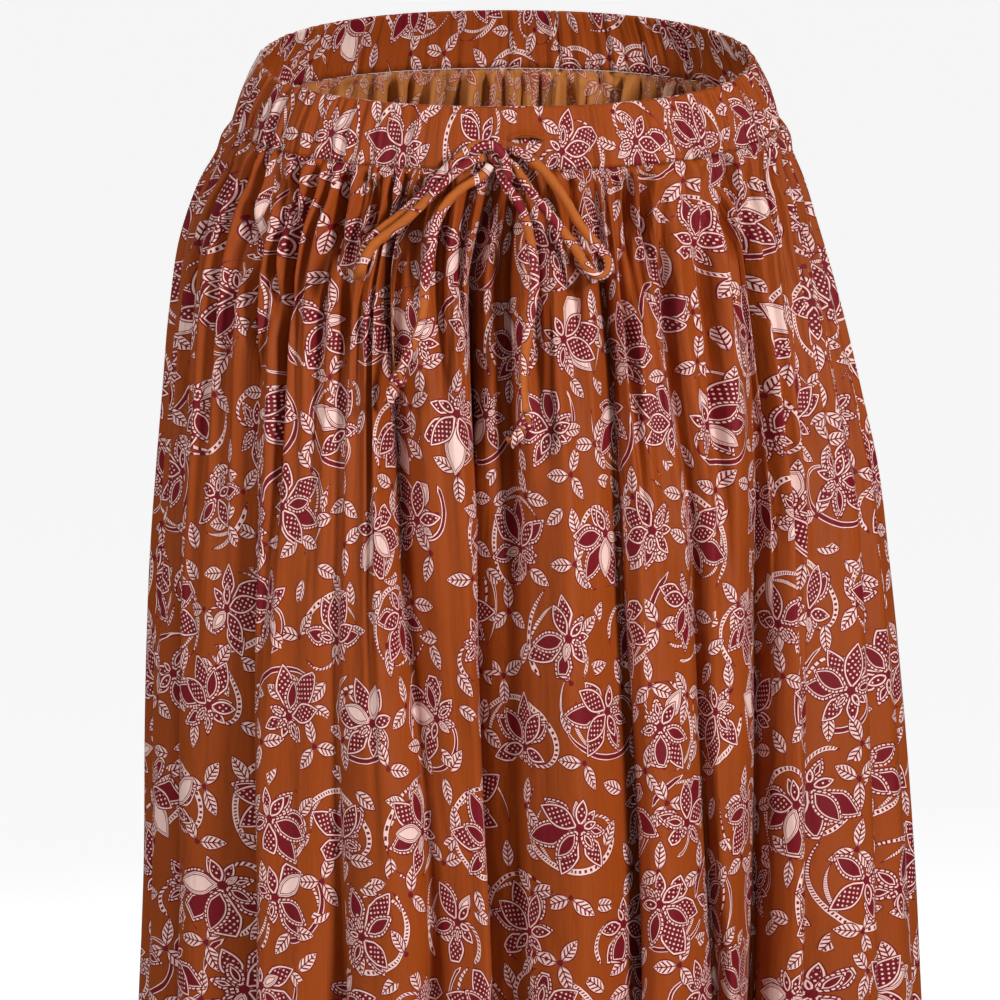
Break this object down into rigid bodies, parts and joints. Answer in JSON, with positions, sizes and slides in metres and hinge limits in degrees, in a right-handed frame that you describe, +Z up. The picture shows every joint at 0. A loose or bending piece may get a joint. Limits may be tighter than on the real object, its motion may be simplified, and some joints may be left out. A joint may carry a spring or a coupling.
{
  "type": "midi skirt",
  "caption": "Gathered midi skirt of light printed cotton with an elasticated waistband and a drawstring tied in a bow, hollow as worn.",
  "frame": {"origin": "middle of the waist opening, half way up the waistband at the side seams", "axes": "+Z up out of the waist, -Y to the front where the bow is, +X to the wearer's left"},
  "size_m": [0.4855, 0.4063, 0.8045],
  "materials": {
    "skirt_cloth": "light woven cotton, amber with a burgundy and pale flower print, faint sheen",
    "waistband_cloth": "the same printed cotton as a rippled casing over elastic",
    "drawstring_cloth": "the same printed cotton sewn into a narrow tube"
  },
  "bodies": {
    "root": {"skirt_front": "skirt_cloth", "skirt_back": "skirt_cloth", "waistband_front": "waistband_cloth", "waistband_back": "waistband_cloth", "bow_knot": "drawstring_cloth", "tie_loop_left": "drawstring_cloth", "tie_loop_right": "drawstring_cloth", "tie_end_left": "drawstring_cloth", "tie_end_right": "drawstring_cloth", "end_knot_left": "drawstring_cloth", "end_knot_right": "drawstring_cloth"}
  },
  "joints": []
}
